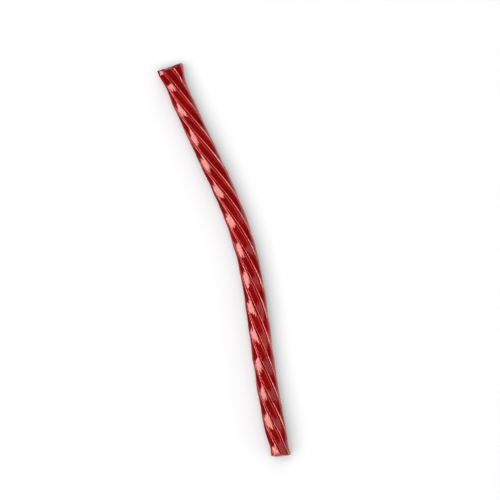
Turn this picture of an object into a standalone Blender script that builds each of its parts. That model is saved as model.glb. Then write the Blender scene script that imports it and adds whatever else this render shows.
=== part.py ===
"""A red licorice twist lying on a table: one solid ribbed strand, wound left-handed, with pinched ends.

Metres, +Z up. The strand lies along Y with its head at +Y, bends gently in the table's plane and rests
on Z = 0. The origin is on the table, under the middle of the strand's bounding box.
"""

import math
from collections import namedtuple

import bmesh
import bpy
import numpy as np
from mathutils import Vector

OBJECT_NAME = "licorice_twist"

# The strand: its length, and the middle line's height over the table. That height is less than the radius,
# so the lowest ribs are pressed flat where they rest.
STRAND_LENGTH = 0.175
REST_HEIGHT = 0.00445

# The ribs: flat faces that lean a little to the right, with a bevelled right edge and a sharper and prouder
# left one, and narrow deep grooves between them. Distances are from the middle line, slopes are a wall's lean
# from the surface, and angles are a side's lean to the left. At the strand's two sides the ribs' edges are
# lower by the side dip.
RIB_COUNT = 8
GROOVE_RADIUS = 0.00370
FACE_DISTANCE = 0.00461
FACE_LEAN = math.radians(-6.0)
BEVEL_DISTANCE = 0.00444
BEVEL_ANGLE = math.radians(-35.0)
LEFT_WALL_SLOPE = math.radians(72.0)
RIGHT_WALL_SLOPE = math.radians(68.0)
CORNER_SHARPNESS = 40.0
SIDE_DIP = 0.0007
SIDE_NARROWNESS = 8

# The bend of the middle line: its directions, measured from -Y towards +X, and where they change
HEAD_HEADING = math.radians(3.1)
RUN_HEADING = math.radians(8.9)
WAIST_HEADING = math.radians(-9.05)
FOOT_HEADING = math.radians(-4.25)
HEAD_BEND_END = 0.0194
BEND_START = 0.0487
BEND_END = 0.1173
FOOT_BEND_START = 0.1119

# The twist: the length of one full turn, a stretch wound more loosely, and the first place with a groove
# on top
TURN_LENGTH = 0.0983
LOOSE_CENTRE = 0.0706
LOOSE_REACH = 0.0245
LOOSENING = 0.116
TOP_GROOVE = 0.0093

# Unevenness, as shares of a rib's width, of a groove's depth and of the radius. It changes in steps from
# rib to rib, given as angles, and in waves along the strand, given as lengths.
RIB_WIDTH_WANDER = 0.03
RIB_WIDTH_STEP = 2.4
RIB_HEIGHT_WANDER = 0.10
RIB_HEIGHT_STEP = 3.9
RIB_WAVE = 0.078
RADIUS_WANDER = 0.012
RADIUS_WAVE = 0.056

# The cut ends. Each flares or narrows in width, is squashed in height and may have a neck behind it. The cut
# reaches further on the strand's left or right side by skew, further at both sides by horn and further at the
# table than on top by slant.
End = namedtuple("End", "flare flare_length neck neck_place neck_reach squash squash_length skew horn slant")
HEAD = End(
    flare=0.23,
    flare_length=0.0075,
    neck=0.035,
    neck_place=0.0105,
    neck_reach=0.0035,
    squash=0.28,
    squash_length=0.0080,
    skew=0.00019,
    horn=0.00035,
    slant=0.00056,
)
FOOT = End(
    flare=0.0,
    flare_length=0.0040,
    neck=0.16,
    neck_place=0.0036,
    neck_reach=0.0045,
    squash=0.15,
    squash_length=0.0070,
    skew=-0.00050,
    horn=0.0,
    slant=0.00065,
)
RAGGEDNESS = 0.00018
RAGGED_STEP = 5.1
CAP_DIMPLE = 0.0004
CAP_RIM = 0.72

# The mesh: rings along the strand, closer together at the ends, and points across one rib
RING_COUNT = 68
END_CROWDING = 0.35
RIB_PHASES = (0.0, 0.06, 0.115, 0.16, 0.5, 0.8, 0.887, 0.95)
CURVE_STEPS = 1900

# The look
CANDY_COLOUR = (0.36, 0.006, 0.012, 1.0)
CANDY_ROUGHNESS = 0.22


def smooth(t):
    """A smooth step from 0 at t = 0 to 1 at t = 1."""
    t = np.clip(t, 0.0, 1.0)
    return t * t * (3.0 - 2.0 * t)


def bump(t):
    """A smooth hill of height 1 at t = 0."""
    return np.exp(-t * t)


def running_total(values, step):
    """The integral of evenly spaced values, from 0."""
    return np.concatenate(([0.0], np.cumsum(0.5 * (values[1:] + values[:-1]) * step)))


def heading(along):
    """The middle line's direction in the table's plane, from -Y towards +X."""
    head = smooth(along / HEAD_BEND_END)
    bend = smooth((along - BEND_START) / (BEND_END - BEND_START))
    foot = smooth((along - FOOT_BEND_START) / (STRAND_LENGTH - FOOT_BEND_START))
    direction = HEAD_HEADING + (RUN_HEADING - HEAD_HEADING) * head
    direction = direction + (WAIST_HEADING - RUN_HEADING) * bend
    return direction + (FOOT_HEADING - WAIST_HEADING) * foot


def twist_rate(along):
    """How fast the ribs turn, in radians a metre."""
    return 2.0 * math.pi / TURN_LENGTH * (1.0 - LOOSENING * bump((along - LOOSE_CENTRE) / LOOSE_REACH))


def guide_curves(along):
    """The middle line's X and Y and the ribs' turn at each place along the strand."""
    fine = np.linspace(0.0, STRAND_LENGTH, CURVE_STEPS)
    step = fine[1] - fine[0]
    x = running_total(np.sin(heading(fine)), step)
    y = -running_total(np.cos(heading(fine)), step)
    turn = running_total(twist_rate(fine), step)
    turn = turn - np.interp(TOP_GROOVE, fine, turn)
    return np.interp(along, fine, x), np.interp(along, fine, y), np.interp(along, fine, turn)


def groove_angle(rib):
    """Where a rib starts round the strand. Ribs differ a little in width."""
    wander = RIB_WIDTH_WANDER * math.sin(RIB_WIDTH_STEP * (rib % RIB_COUNT))
    return 2.0 * math.pi / RIB_COUNT * (rib + wander)


def rib_outline(phase):
    """The distance from the middle line to a rib's outline.

    The outline runs from the rib's right groove at phase 0 to its left one at 1. Four flat sides bound it:
    the face, a bevel and a wall on the right, and a steep wall on the left. Each is given by its normal's
    lean to the left and its distance from the middle line.
    """
    half_angle = math.pi / RIB_COUNT
    angle = (2.0 * phase - 1.0) * half_angle
    sides = (
        (FACE_LEAN, FACE_DISTANCE),
        (BEVEL_ANGLE, BEVEL_DISTANCE),
        (half_angle + LEFT_WALL_SLOPE, GROOVE_RADIUS * math.cos(LEFT_WALL_SLOPE)),
        (-half_angle - RIGHT_WALL_SLOPE, GROOVE_RADIUS * math.cos(RIGHT_WALL_SLOPE)),
    )
    closeness = sum((max(math.cos(angle - lean), 0.0) / away) ** CORNER_SHARPNESS for lean, away in sides)
    return closeness ** (-1.0 / CORNER_SHARPNESS)


def surface_radius(rib, phase, angle, along):
    """The distance from the middle line to the surface."""
    height = 1.0 + RIB_HEIGHT_WANDER * np.sin(RIB_HEIGHT_STEP * rib + 2.0 * math.pi * along / RIB_WAVE)
    swell = 1.0 + RADIUS_WANDER * np.cos(2.0 * math.pi * along / RADIUS_WAVE)
    dip = SIDE_DIP * np.sin(angle) ** SIDE_NARROWNESS * (1.0 - math.sin(math.pi * phase))
    return GROOVE_RADIUS * swell + (rib_outline(phase) - GROOVE_RADIUS) * height - dip


def end_shape(gap, end):
    """An end's width and height, as shares of the strand's, at a distance of gap from the cut."""
    wide = end.flare * smooth(1.0 - gap / end.flare_length)
    narrow = end.neck * bump((gap - end.neck_place) / end.neck_reach)
    return 1.0 + wide - narrow, 1.0 - end.squash * smooth(1.0 - gap / end.squash_length)


def cut_reach(gap, angle, rib, phase, end):
    """How far the surface is drawn out along the strand at this angle round it, all of it at the cut."""
    side = np.sin(angle)
    ragged = RAGGEDNESS * (rib_outline(phase) / FACE_DISTANCE - 1.0 + math.sin(RAGGED_STEP * rib))
    reach = end.skew * side + end.horn * side**2 - end.slant * np.cos(angle) + ragged
    return reach * smooth(1.0 - gap / end.squash_length)


def surface_points(along, rib, phase):
    """Points of the surface along one line of a rib, as X, Y and Z for each place along the strand."""
    x, y, turn = guide_curves(along)
    start, end = groove_angle(rib), groove_angle(rib + 1)
    angle = start + phase * (end - start) - turn
    radius = surface_radius(rib, phase, angle, along)
    to_foot = STRAND_LENGTH - along
    head_wide, head_high = end_shape(along, HEAD)
    foot_wide, foot_high = end_shape(to_foot, FOOT)
    side = head_wide * foot_wide * radius * np.sin(angle)
    forward = cut_reach(to_foot, angle, rib, phase, FOOT) - cut_reach(along, angle, rib, phase, HEAD)
    course = heading(along)
    px = x - side * np.cos(course) + forward * np.sin(course)
    py = y - side * np.sin(course) - forward * np.cos(course)
    pz = head_high * foot_high * (REST_HEIGHT + radius * np.cos(angle))
    return np.stack((px, py, np.maximum(pz, 0.0)), axis=-1)


def ring_places():
    """Places of the rings along the strand."""
    t = np.linspace(0.0, 1.0, RING_COUNT)
    return STRAND_LENGTH * (t - END_CROWDING * np.sin(2.0 * math.pi * t) / (2.0 * math.pi))


def strand_rings():
    """The surface as an array of rings, points round each ring and coordinates, centred on the origin."""
    along = ring_places()
    lines = [surface_points(along, rib, phase) for rib in range(RIB_COUNT) for phase in RIB_PHASES]
    rings = np.stack(lines, axis=1)
    low = rings.min(axis=(0, 1))
    high = rings.max(axis=(0, 1))
    rings[..., :2] -= 0.5 * (low + high)[:2]
    return rings


def close_end(mesh, ring, inwards):
    """Closes an end with a shallow dimpled cap inside a rim."""
    middle = sum((vert.co for vert in ring), Vector()) / len(ring)
    inner = [mesh.verts.new(middle.lerp(vert.co, CAP_RIM)) for vert in ring]
    centre = mesh.verts.new(middle + inwards * CAP_DIMPLE)
    for here in range(len(ring)):
        after = (here + 1) % len(ring)
        mesh.faces.new((ring[here], ring[after], inner[after], inner[here]))
        mesh.faces.new((inner[here], inner[after], centre))


def strand_mesh():
    """The closed mesh of the strand: a loft through its unlike rings, and a cap at each end."""
    mesh = bmesh.new()
    rings = [[mesh.verts.new(point) for point in ring] for ring in strand_rings()]
    for ring, following in zip(rings, rings[1:]):
        for here in range(len(ring)):
            after = (here + 1) % len(ring)
            mesh.faces.new((ring[here], ring[after], following[after], following[here]))
    head_course, foot_course = heading(0.0), heading(STRAND_LENGTH)
    close_end(mesh, rings[0], Vector((math.sin(head_course), -math.cos(head_course), 0.0)))
    close_end(mesh, rings[-1], Vector((-math.sin(foot_course), math.cos(foot_course), 0.0)))
    bmesh.ops.recalc_face_normals(mesh, faces=mesh.faces)
    return mesh


def candy_material():
    """Deep red, glossy candy."""
    material = bpy.data.materials.new("candy_red")
    material.use_nodes = True
    shader = material.node_tree.nodes["Principled BSDF"]
    shader.inputs["Base Color"].default_value = CANDY_COLOUR
    shader.inputs["Roughness"].default_value = CANDY_ROUGHNESS
    shader.inputs["Metallic"].default_value = 0.0
    return material


def clear_scene():
    for obj in list(bpy.data.objects):
        bpy.data.objects.remove(obj, do_unlink=True)


def main():
    clear_scene()
    data = bpy.data.meshes.new(OBJECT_NAME)
    mesh = strand_mesh()
    mesh.to_mesh(data)
    mesh.free()
    data.shade_smooth()
    data.materials.append(candy_material())
    strand = bpy.data.objects.new(OBJECT_NAME, data)
    collection = bpy.data.collections.new("Licorice twist")
    bpy.context.scene.collection.children.link(collection)
    collection.objects.link(strand)


main()
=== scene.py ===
import math
from collections import namedtuple

import bpy
import numpy as np
from mathutils import Matrix, Vector


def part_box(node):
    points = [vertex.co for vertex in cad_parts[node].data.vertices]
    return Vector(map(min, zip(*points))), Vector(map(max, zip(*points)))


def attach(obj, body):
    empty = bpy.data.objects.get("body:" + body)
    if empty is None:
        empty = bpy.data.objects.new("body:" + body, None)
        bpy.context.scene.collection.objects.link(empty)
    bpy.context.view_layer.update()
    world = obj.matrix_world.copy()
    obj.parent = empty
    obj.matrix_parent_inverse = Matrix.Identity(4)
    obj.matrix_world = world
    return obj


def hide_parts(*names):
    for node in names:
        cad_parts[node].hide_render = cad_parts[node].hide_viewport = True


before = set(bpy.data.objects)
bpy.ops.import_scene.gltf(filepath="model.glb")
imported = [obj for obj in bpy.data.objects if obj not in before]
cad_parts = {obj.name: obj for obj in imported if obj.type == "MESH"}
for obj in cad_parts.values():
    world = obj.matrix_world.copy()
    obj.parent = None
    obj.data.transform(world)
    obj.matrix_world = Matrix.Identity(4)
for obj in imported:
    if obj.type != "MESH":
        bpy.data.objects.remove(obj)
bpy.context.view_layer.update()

# The strand, as in the CAD source: a ribbed strand wound left-handed, along Y with its head at +Y
NODE = "licorice_twist"
STRAND_LENGTH = 0.175
REST_HEIGHT = 0.00445
RIB_COUNT = 8
GROOVE_RADIUS = 0.00370
FACE_DISTANCE = 0.00461
FACE_LEAN = math.radians(-6.0)
BEVEL_DISTANCE = 0.00444
BEVEL_ANGLE = math.radians(-35.0)
LEFT_WALL_SLOPE = math.radians(72.0)
RIGHT_WALL_SLOPE = math.radians(68.0)
CORNER_SHARPNESS = 40.0
SIDE_DIP = 0.0007
SIDE_NARROWNESS = 8

# The bend of the middle line
HEAD_HEADING = math.radians(3.1)
RUN_HEADING = math.radians(8.9)
WAIST_HEADING = math.radians(-9.05)
FOOT_HEADING = math.radians(-4.25)
HEAD_BEND_END = 0.0194
BEND_START = 0.0487
BEND_END = 0.1173
FOOT_BEND_START = 0.1119

# The twist
TURN_LENGTH = 0.0983
LOOSE_CENTRE = 0.0706
LOOSE_REACH = 0.0245
LOOSENING = 0.116
TOP_GROOVE = 0.0093

# Unevenness of ribs and radius
RIB_WIDTH_WANDER = 0.03
RIB_WIDTH_STEP = 2.4
RIB_HEIGHT_WANDER = 0.10
RIB_HEIGHT_STEP = 3.9
RIB_WAVE = 0.078
RADIUS_WANDER = 0.012
RADIUS_WAVE = 0.056

# The cut ends
End = namedtuple("End", "flare flare_length neck neck_place neck_reach squash squash_length skew horn slant")
HEAD = End(
    flare=0.23,
    flare_length=0.0075,
    neck=0.035,
    neck_place=0.0105,
    neck_reach=0.0035,
    squash=0.28,
    squash_length=0.0080,
    skew=0.00019,
    horn=0.00035,
    slant=0.00056,
)
FOOT = End(
    flare=0.0,
    flare_length=0.0040,
    neck=0.16,
    neck_place=0.0036,
    neck_reach=0.0045,
    squash=0.15,
    squash_length=0.0070,
    skew=-0.00050,
    horn=0.0,
    slant=0.00065,
)
RAGGEDNESS = 0.00018
RAGGED_STEP = 5.1
CAP_DIMPLE = 0.0004

# Finer than the CAD source: ripples along the faces, and fine lines that wander with them
RIPPLE_COUNT = 14
RIPPLE_HEIGHT = 0.000022
RIPPLE_SHORTEST = 0.006
RIPPLE_LONGEST = 0.022
RIPPLE_LEAN = 1.5
LINE_COUNT = 3.0
LINE_HEIGHT = 0.000018
LINE_WANDER = 1.6
SEED = 11

# The ribs' edges beside their grooves, as phases across a rib, where thin highlight lines are painted into
# the colour, and the rounded lip round each cut
LEFT_EDGE = 0.895
RIGHT_EDGE = 0.13
EDGE_REACH = 0.025
LIP = 0.00022

# The mesh
LIP_STEPS = 5
CUT_STEPS = 12
RING_COUNT = 400
RIB_STEPS = 28
GROOVE_CROWDING = 0.72
CURVE_STEPS = 4000

# The picture: its scale on the table, and where the strand starts in it and how the strand lies
PICTURE_PIXELS = 500.0
STRAND_PIXELS = 406.7
PIXEL = STRAND_LENGTH / STRAND_PIXELS
START_COLUMN = 169.69
START_ROW = 68.0
STRAND_TURN = math.radians(16.02)
PICTURE_LEVEL = 0.005
CAMERA_HEIGHT = 1.2
CAMERA_SENSOR = 36.0

# The light: soft boxes aimed at the middle of the picture. Azimuth is measured in the picture from its right
# towards its top, and elevation from the table. Half width and height are the angles that a box spans. Its
# power is its radiance times its area times a fixed number.
SoftBox = namedtuple("SoftBox", "azimuth elevation half_wide half_high radiance")
KEY = SoftBox(azimuth=205.0, elevation=40.5, half_wide=30.0, half_high=20.0, radiance=14.0)
GLOW = KEY._replace(radiance=3.5)
FILL = SoftBox(azimuth=-12.0, elevation=36.0, half_wide=25.0, half_high=22.0, radiance=1.6)
TOP = SoftBox(azimuth=190.0, elevation=74.0, half_wide=35.0, half_high=35.0, radiance=3.1)
BACK = SoftBox(azimuth=80.0, elevation=25.0, half_wide=35.0, half_high=35.0, radiance=0.9)
LIGHT_DISTANCE = 0.9
POWER_OF_RADIANCE = 4.0

# What glossy surfaces see round them: a bright board below and a dark room above it. The fade between the two
# starts and ends at these heights of the direction of view, which is -1 straight down.
BOARD_BRIGHTNESS = 0.7
ROOM_BRIGHTNESS = 0.03
BOARD_FADE_START = -0.57
BOARD_FADE_END = -0.37
WHITE = (1.0, 1.0, 1.0, 1.0)

# The board that the strand lies on
FLOOR_COLOUR = (0.52, 0.52, 0.525, 1.0)
FLOOR_ROUGHNESS = 0.9
FLOOR_SHINE = 0.2
FLOOR_REACH = 3.0

# The candy: a browner and a brighter red in broad patches, a paler red painted along the ribs' edges as
# highlight lines, and some depth
CANDY_DEEP = (0.103, 0.0008, 0.0010, 1.0)
CANDY_BRIGHT = (0.158, 0.0013, 0.0016, 1.0)
# Painted highlight: the pale pink red of the thin highlight lines along the ribs' edges
CANDY_EDGE_HIGHLIGHT = (0.54, 0.080, 0.076, 1.0)
DEEP_UP_TO = 0.35
BRIGHT_FROM = 0.68
CANDY_DEPTH = 0.2
CANDY_DEPTH_REACH = 0.0015
CANDY_DEPTH_COLOURS = (1.0, 0.05, 0.04)

# Its gloss, in duller and glossier places, and the skin's faint relief
CANDY_IOR = 1.47
CANDY_TINT = (1.0, 0.50, 0.46, 1.0)
CANDY_GLOSSIEST = 0.045
CANDY_DULLEST = 0.10
GLOSSIEST_UP_TO = 0.3
DULLEST_FROM = 0.7
SKIN_RELIEF = 0.00004
SKIN_STRENGTH = 0.2

# The noises behind them, with their scale in cells a metre
Noise = namedtuple("Noise", "scale detail roughness")
TONE_NOISE = Noise(scale=90.0, detail=3.0, roughness=0.55)
GLOSS_NOISE = Noise(scale=420.0, detail=4.0, roughness=0.6)
SKIN_NOISE = Noise(scale=1100.0, detail=2.0, roughness=0.5)


def smooth(t):
    """A smooth step from 0 at t = 0 to 1 at t = 1."""
    t = np.clip(t, 0.0, 1.0)
    return t * t * (3.0 - 2.0 * t)


def bump(t):
    """A smooth hill of height 1 at t = 0."""
    return np.exp(-t * t)


def running_total(values, step):
    """The integral of evenly spaced values, from 0."""
    return np.concatenate(([0.0], np.cumsum(0.5 * (values[1:] + values[:-1]) * step)))


def heading(along):
    """The middle line's direction in the table's plane, from -Y towards +X."""
    head = smooth(along / HEAD_BEND_END)
    bend = smooth((along - BEND_START) / (BEND_END - BEND_START))
    foot = smooth((along - FOOT_BEND_START) / (STRAND_LENGTH - FOOT_BEND_START))
    direction = HEAD_HEADING + (RUN_HEADING - HEAD_HEADING) * head
    direction = direction + (WAIST_HEADING - RUN_HEADING) * bend
    return direction + (FOOT_HEADING - WAIST_HEADING) * foot


def twist_rate(along):
    """How fast the ribs turn, in radians a metre."""
    return 2.0 * math.pi / TURN_LENGTH * (1.0 - LOOSENING * bump((along - LOOSE_CENTRE) / LOOSE_REACH))


def guide_curves(along):
    """The middle line's X and Y and the ribs' turn at each place along the strand."""
    fine = np.linspace(0.0, STRAND_LENGTH, CURVE_STEPS)
    step = fine[1] - fine[0]
    x = running_total(np.sin(heading(fine)), step)
    y = -running_total(np.cos(heading(fine)), step)
    turn = running_total(twist_rate(fine), step)
    turn = turn - np.interp(TOP_GROOVE, fine, turn)
    return np.interp(along, fine, x), np.interp(along, fine, y), np.interp(along, fine, turn)


def groove_angle(rib):
    """Where a rib starts round the strand. Ribs differ a little in width."""
    wander = RIB_WIDTH_WANDER * np.sin(RIB_WIDTH_STEP * (rib % RIB_COUNT))
    return 2.0 * math.pi / RIB_COUNT * (rib + wander)


def rib_outline(phase):
    """How far a rib's outline is from the middle line, from its right groove at phase 0 to its left one at 1.

    Four flat sides bound the rib: the face, a bevel and a wall on its right, and a steep wall on its left.
    Each is given by the angle of its normal from the rib's middle and its distance from the middle line.
    """
    half_angle = math.pi / RIB_COUNT
    angle = (2.0 * phase - 1.0) * half_angle
    sides = (
        (FACE_LEAN, FACE_DISTANCE),
        (BEVEL_ANGLE, BEVEL_DISTANCE),
        (half_angle + LEFT_WALL_SLOPE, GROOVE_RADIUS * math.cos(LEFT_WALL_SLOPE)),
        (-half_angle - RIGHT_WALL_SLOPE, GROOVE_RADIUS * math.cos(RIGHT_WALL_SLOPE)),
    )
    closeness = 0.0
    for lean, away in sides:
        closeness = closeness + (np.maximum(np.cos(angle - lean), 0.0) / away) ** CORNER_SHARPNESS
    return closeness ** (-1.0 / CORNER_SHARPNESS)


def surface_radius(rib, phase, angle, along):
    """How far the surface is from the middle line, with deeper grooves at the strand's two sides."""
    height = 1.0 + RIB_HEIGHT_WANDER * np.sin(RIB_HEIGHT_STEP * rib + 2.0 * math.pi * along / RIB_WAVE)
    swell = 1.0 + RADIUS_WANDER * np.cos(2.0 * math.pi * along / RADIUS_WAVE)
    dip = SIDE_DIP * np.sin(angle) ** SIDE_NARROWNESS * (1.0 - np.sin(math.pi * phase))
    return GROOVE_RADIUS * swell + (rib_outline(phase) - GROOVE_RADIUS) * height - dip


def ripples(rib, phase, along):
    """Small rises, dents and lines along each face, none of them at its grooves."""
    draw = np.random.default_rng(SEED)
    total = np.zeros(np.broadcast_shapes(rib.shape, along.shape))
    for _ in range(RIPPLE_COUNT):
        wave = draw.uniform(RIPPLE_SHORTEST, RIPPLE_LONGEST)
        step = draw.uniform(0.0, 2.0 * math.pi)
        start = draw.uniform(0.0, 2.0 * math.pi)
        lean = draw.uniform(-RIPPLE_LEAN, RIPPLE_LEAN)
        total = total + np.sin(2.0 * math.pi * along / wave + step * rib + lean * phase + start)
    lines = np.cos(2.0 * math.pi * LINE_COUNT * phase + LINE_WANDER * total)
    return (RIPPLE_HEIGHT * total + LINE_HEIGHT * lines) * np.sin(math.pi * phase)


def painted_highlight_share(phase):
    """1 where highlight lines are painted along a rib's edges beside its grooves, and 0 on the face and in
    the groove.
    """
    return bump((phase - LEFT_EDGE) / EDGE_REACH) + bump((phase - RIGHT_EDGE) / EDGE_REACH)


def end_shape(gap, end):
    """An end's width and height, as shares of the strand's, at a distance of gap from the cut."""
    flare = end.flare * smooth(1.0 - gap / end.flare_length)
    neck = end.neck * bump((gap - end.neck_place) / end.neck_reach)
    squash = end.squash * smooth(1.0 - gap / end.squash_length)
    return 1.0 + flare - neck, 1.0 - squash


def cut_reach(gap, angle, rib, phase, end):
    """How far the surface is drawn out along the strand at this angle round it, all of it at the cut."""
    side = np.sin(angle)
    ragged = RAGGEDNESS * (rib_outline(phase) / FACE_DISTANCE - 1.0 + np.sin(RAGGED_STEP * rib))
    reach = end.skew * side + end.horn * side**2 - end.slant * np.cos(angle) + ragged
    return reach * smooth(1.0 - gap / end.squash_length)


def surface_points(along, rib, phase):
    """The surface's points, as rings, points round each ring and coordinates."""
    x, y, turn = guide_curves(along)
    start, end = groove_angle(rib), groove_angle(rib + 1)
    angle = start + phase * (end - start) - turn
    radius = surface_radius(rib, phase, angle, along) + ripples(rib, phase, along)
    to_foot = STRAND_LENGTH - along
    head_wide, head_high = end_shape(along, HEAD)
    foot_wide, foot_high = end_shape(to_foot, FOOT)
    side = head_wide * foot_wide * radius * np.sin(angle)
    forward = cut_reach(to_foot, angle, rib, phase, FOOT) - cut_reach(along, angle, rib, phase, HEAD)
    course = heading(along)
    px = x - side * np.cos(course) + forward * np.sin(course)
    py = y - side * np.sin(course) - forward * np.cos(course)
    pz = head_high * foot_high * (REST_HEIGHT + radius * np.cos(angle))
    return np.stack((px, py, np.maximum(pz, 0.0)), axis=-1)


def phases_across_rib():
    """The phases of a rib's points, closer together at its grooves."""
    t = np.arange(RIB_STEPS) / RIB_STEPS
    return t - GROOVE_CROWDING * np.sin(2.0 * math.pi * t) / (2.0 * math.pi)


def cut_rings(ring, outwards):
    """Rings from a cut's edge over its rounded lip and across its dimpled face, and the face's middle."""
    middle = ring.mean(axis=0)
    spread = np.linalg.norm(ring - middle, axis=1).mean()
    rings = []
    for step in range(1, LIP_STEPS + 1):
        bow = 0.5 * math.pi * step / LIP_STEPS
        share = 1.0 - LIP / spread * (1.0 - math.cos(bow))
        rings.append(middle + (ring - middle) * share + outwards * LIP * math.sin(bow))
    edge_share = 1.0 - LIP / spread
    for step in range(1, CUT_STEPS):
        inwards = step / CUT_STEPS
        share = edge_share * (1.0 - inwards)
        rise = LIP - CAP_DIMPLE * smooth(inwards)
        rings.append(middle + (ring - middle) * share + outwards * rise)
    return rings, middle + outwards * (LIP - CAP_DIMPLE)


def strand_surface():
    """All rings from the middle of one cut to the middle of the other, and those two middles."""
    along = np.linspace(0.0, STRAND_LENGTH, RING_COUNT)[:, None]
    rib = np.repeat(np.arange(RIB_COUNT), RIB_STEPS)[None, :]
    phase = np.tile(phases_across_rib(), RIB_COUNT)[None, :]
    rings = surface_points(along, rib, phase)
    head_course, foot_course = heading(0.0), heading(STRAND_LENGTH)
    head_out = np.array((-math.sin(head_course), math.cos(head_course), 0.0))
    foot_out = np.array((math.sin(foot_course), -math.cos(foot_course), 0.0))
    head_rings, head_middle = cut_rings(rings[0], head_out)
    foot_rings, foot_middle = cut_rings(rings[-1], foot_out)
    every = np.concatenate((np.array(head_rings[::-1]), rings, np.array(foot_rings)))
    return every, head_middle, foot_middle


def closed_faces(count, around):
    """The faces between count rings, and those that close both cuts at their middles, the last two points."""
    here = np.arange(around)
    after = (here + 1) % around
    first = np.arange(count - 1)[:, None] * around
    quads = np.stack((first + here, first + after, first + around + after, first + around + here), axis=-1)
    faces = quads.reshape(-1, 4).tolist()
    last = (count - 1) * around
    head_middle = count * around
    foot_middle = head_middle + 1
    faces += [(head_middle, int(b), int(a)) for a, b in zip(here, after)]
    faces += [(foot_middle, int(last + a), int(last + b)) for a, b in zip(here, after)]
    return faces


def paint_edge_highlights(data, count):
    """Give the mesh of count rings its painted highlight lines along the ribs' edges, which run along the
    strand and not over its cuts.
    """
    cut = (count - RING_COUNT) // 2
    on_strand = np.zeros(count)
    on_strand[cut:-cut] = 1.0
    around = np.tile(painted_highlight_share(phases_across_rib()), RIB_COUNT)
    highlight_share = np.outer(on_strand, around).ravel()
    at_middles = (0.0, 0.0)
    edge = data.attributes.new("painted_edge_highlight", "FLOAT", "POINT")
    edge.data.foreach_set("value", np.concatenate((highlight_share, at_middles)).astype(np.float32))


def strand_piece():
    """The strand as one closed mesh that fills its node's box, and where its middle line starts."""
    rings, head_middle, foot_middle = strand_surface()
    count, around = rings.shape[:2]
    points = np.concatenate((rings.reshape(-1, 3), (head_middle, foot_middle)))
    low, high = (np.array(corner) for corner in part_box(NODE))
    own_low, own_high = points.min(axis=0), points.max(axis=0)
    scale = (high - low) / (own_high - own_low)
    points = low + (points - own_low) * scale
    start = low - own_low * scale
    data = bpy.data.meshes.new("twist_candy")
    data.from_pydata(points.tolist(), [], closed_faces(count, around))
    data.update()
    data.shade_smooth()
    paint_edge_highlights(data, count)
    piece = bpy.data.objects.new("twist_candy", data)
    bpy.context.scene.collection.objects.link(piece)
    return piece, start


def node(tree, kind, **sockets):
    """A new shader node with its sockets' values set by name."""
    made = tree.nodes.new(kind)
    for name, value in sockets.items():
        made.inputs[name.replace("_", " ")].default_value = value
    return made


def noise(tree, place, kind):
    """A noise over the piece's own coordinates."""
    made = node(tree, "ShaderNodeTexNoise", Scale=kind.scale, Detail=kind.detail, Roughness=kind.roughness)
    tree.links.new(place.outputs["Object"], made.inputs["Vector"])
    return made.outputs["Fac"]


def colour_sockets(sockets):
    """Those of a mix node's sockets that hold colours."""
    return [socket for socket in sockets if socket.type == "RGBA"]


def candy_material():
    """Deep red, glossy, slightly see-through candy with highlight lines painted along its ribs' edges and a
    faintly uneven skin.
    """
    material = bpy.data.materials.new("candy_red_detailed")
    material.use_nodes = True
    tree = material.node_tree
    link = tree.links.new
    shader = tree.nodes["Principled BSDF"]
    shader.inputs["IOR"].default_value = CANDY_IOR
    shader.inputs["Specular Tint"].default_value = CANDY_TINT
    shader.inputs["Subsurface Weight"].default_value = CANDY_DEPTH
    shader.inputs["Subsurface Radius"].default_value = CANDY_DEPTH_COLOURS
    shader.inputs["Subsurface Scale"].default_value = CANDY_DEPTH_REACH
    place = tree.nodes.new("ShaderNodeTexCoord")

    # Broad patches of a browner and a brighter red
    tones = tree.nodes.new("ShaderNodeValToRGB")
    deep, bright = tones.color_ramp.elements
    deep.position = DEEP_UP_TO
    deep.color = CANDY_DEEP
    bright.position = BRIGHT_FROM
    bright.color = CANDY_BRIGHT
    link(noise(tree, place, TONE_NOISE), tones.inputs["Fac"])

    # Highlight lines painted along the ribs' edges: a paler red mixed into the colour
    highlight_share = tree.nodes.new("ShaderNodeAttribute")
    highlight_share.attribute_name = "painted_edge_highlight"
    blend = tree.nodes.new("ShaderNodeMix")
    blend.data_type = "RGBA"
    body, edge = colour_sockets(blend.inputs)
    edge.default_value = CANDY_EDGE_HIGHLIGHT
    link(highlight_share.outputs["Fac"], blend.inputs[0])
    link(tones.outputs["Color"], body)
    link(colour_sockets(blend.outputs)[0], shader.inputs["Base Color"])

    # Duller and glossier places
    gloss = node(
        tree,
        "ShaderNodeMapRange",
        From_Min=GLOSSIEST_UP_TO,
        From_Max=DULLEST_FROM,
        To_Min=CANDY_GLOSSIEST,
        To_Max=CANDY_DULLEST,
    )
    link(noise(tree, place, GLOSS_NOISE), gloss.inputs["Value"])
    link(gloss.outputs["Result"], shader.inputs["Roughness"])

    # A faint unevenness of the skin
    relief = node(tree, "ShaderNodeBump", Strength=SKIN_STRENGTH, Distance=SKIN_RELIEF)
    link(noise(tree, place, SKIN_NOISE), relief.inputs["Height"])
    link(relief.outputs["Normal"], shader.inputs["Normal"])
    return material


def floor_material():
    """A plain white board."""
    material = bpy.data.materials.new("white_board")
    material.use_nodes = True
    shader = material.node_tree.nodes["Principled BSDF"]
    shader.inputs["Base Color"].default_value = FLOOR_COLOUR
    shader.inputs["Roughness"].default_value = FLOOR_ROUGHNESS
    shader.inputs["Specular IOR Level"].default_value = FLOOR_SHINE
    return material


def picture_direction(right, up):
    """A level direction given by the picture's right and up, in the part's frame."""
    return Matrix.Rotation(-STRAND_TURN, 3, "Z") @ Vector((right, up, 0.0))


def picture_middle(start):
    """The place on the table in the middle of the picture, from where the strand starts."""
    half = 0.5 * PICTURE_PIXELS
    away = picture_direction((START_COLUMN - half) * PIXEL, (half - START_ROW) * PIXEL)
    return Vector((start[0] - away.x, start[1] - away.y, 0.0))


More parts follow.
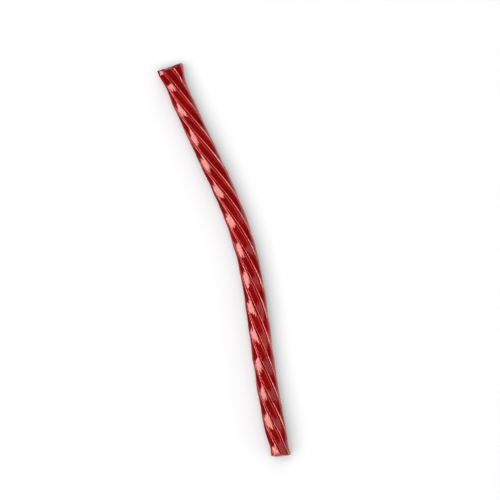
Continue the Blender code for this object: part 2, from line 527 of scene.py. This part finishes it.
def make_camera(middle):
    """A camera straight above the middle of the picture, turned as the photograph is."""
    data = bpy.data.cameras.new("camera")
    data.sensor_width = CAMERA_SENSOR
    data.lens = CAMERA_SENSOR * (CAMERA_HEIGHT - PICTURE_LEVEL) / (PICTURE_PIXELS * PIXEL)
    camera = bpy.data.objects.new("camera", data)
    bpy.context.scene.collection.objects.link(camera)
    camera.location = middle + Vector((0.0, 0.0, CAMERA_HEIGHT))
    camera.rotation_euler = (0.0, 0.0, -STRAND_TURN)
    bpy.context.scene.camera = camera


def soft_light(name, box, middle):
    """A soft box aimed at the middle of the picture."""
    azimuth, elevation = math.radians(box.azimuth), math.radians(box.elevation)
    back = picture_direction(math.cos(azimuth), math.sin(azimuth)) * math.cos(elevation)
    back.z = math.sin(elevation)
    rise = (Vector((0.0, 0.0, 1.0)) - back * back.z).normalized()
    across = rise.cross(back)
    data = bpy.data.lights.new(name, "AREA")
    data.shape = "RECTANGLE"
    data.size = 2.0 * LIGHT_DISTANCE * math.tan(math.radians(box.half_wide))
    data.size_y = 2.0 * LIGHT_DISTANCE * math.tan(math.radians(box.half_high))
    data.energy = POWER_OF_RADIANCE * box.radiance * data.size * data.size_y
    light = bpy.data.objects.new(name, data)
    bpy.context.scene.collection.objects.link(light)
    aim = Matrix((across, rise, back)).transposed().to_4x4()
    light.matrix_world = Matrix.Translation(middle + back * LIGHT_DISTANCE) @ aim
    return light


def make_lights(middle):
    """The studio's soft boxes.

    The key, at the picture's lower left, is seen only in the candy's gloss. The glow, from the same place,
    and the top and back lights only light its body and the board. The fill, at the right, does both.
    """
    soft_light("key", KEY, middle).visible_diffuse = False
    soft_light("glow", GLOW, middle).visible_glossy = False
    soft_light("fill", FILL, middle)
    soft_light("top", TOP, middle).visible_glossy = False
    soft_light("back", BACK, middle).visible_glossy = False


def make_world():
    """A dark room round the bright board that glossy surfaces see below them."""
    world = bpy.data.worlds.new("studio")
    bpy.context.scene.world = world
    world.use_nodes = True
    tree = world.node_tree
    sky = tree.nodes["Background"]
    place = tree.nodes.new("ShaderNodeTexCoord")
    split = tree.nodes.new("ShaderNodeSeparateXYZ")
    tree.links.new(place.outputs["Generated"], split.inputs[0])
    fade = node(
        tree,
        "ShaderNodeMapRange",
        From_Min=BOARD_FADE_START,
        From_Max=BOARD_FADE_END,
        To_Min=BOARD_BRIGHTNESS,
        To_Max=ROOM_BRIGHTNESS,
    )
    fade.interpolation_type = "SMOOTHSTEP"
    tree.links.new(split.outputs["Z"], fade.inputs["Value"])
    sky.inputs["Color"].default_value = WHITE
    tree.links.new(fade.outputs["Result"], sky.inputs["Strength"])


def make_floor(middle):
    """The white board that the strand lies on. In the gloss the world's bright board takes its place."""
    data = bpy.data.meshes.new("floor")
    corners = [(-1.0, -1.0), (1.0, -1.0), (1.0, 1.0), (-1.0, 1.0)]
    points = [(middle.x + FLOOR_REACH * x, middle.y + FLOOR_REACH * y, 0.0) for x, y in corners]
    data.from_pydata(points, [], [(0, 1, 2, 3)])
    data.materials.append(floor_material())
    board = bpy.data.objects.new("floor", data)
    bpy.context.scene.collection.objects.link(board)
    board.visible_glossy = False


twist, strand_start = strand_piece()
twist.data.materials.append(candy_material())
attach(twist, "root")
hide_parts(NODE)

centre = picture_middle(strand_start)
make_camera(centre)
make_floor(centre)
make_world()
make_lights(centre)
bpy.context.scene.view_settings.view_transform = "Standard"
